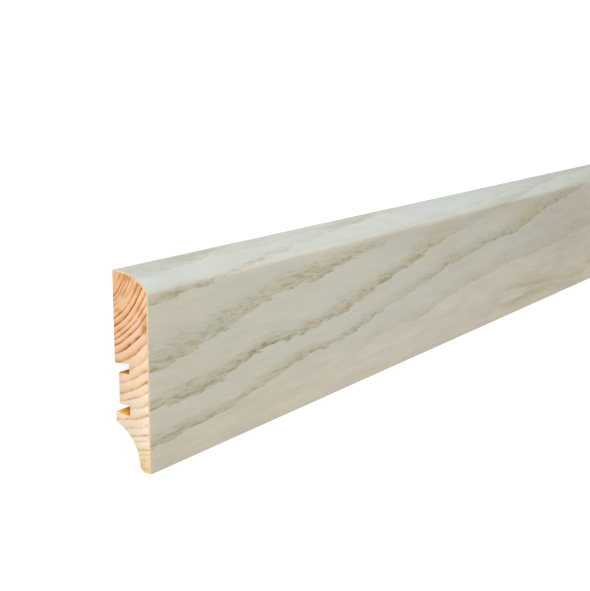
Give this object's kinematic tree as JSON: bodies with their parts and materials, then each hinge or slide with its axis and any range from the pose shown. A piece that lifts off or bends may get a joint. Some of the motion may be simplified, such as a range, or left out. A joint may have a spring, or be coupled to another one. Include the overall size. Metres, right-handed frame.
{
  "type": "skirting board length",
  "caption": "Straight length of veneered softwood skirting board with a rounded top edge, a clip channel and a cable cove along its back.",
  "frame": {"origin": "under the middle of the board, in the plane of its back, on which it lies", "axes": "+X along the board, +Y from the foot to the rounded top edge, +Z from the back to the veneered face"},
  "size_m": [2.2, 0.07, 0.016],
  "materials": {
    "pine": "planed and moulded softwood, bare",
    "oak_veneer": "whitewashed oak veneer under a matt clear lacquer"
  },
  "bodies": {
    "root": {"pine_core": "pine", "oak_veneer": "oak_veneer"}
  },
  "joints": []
}
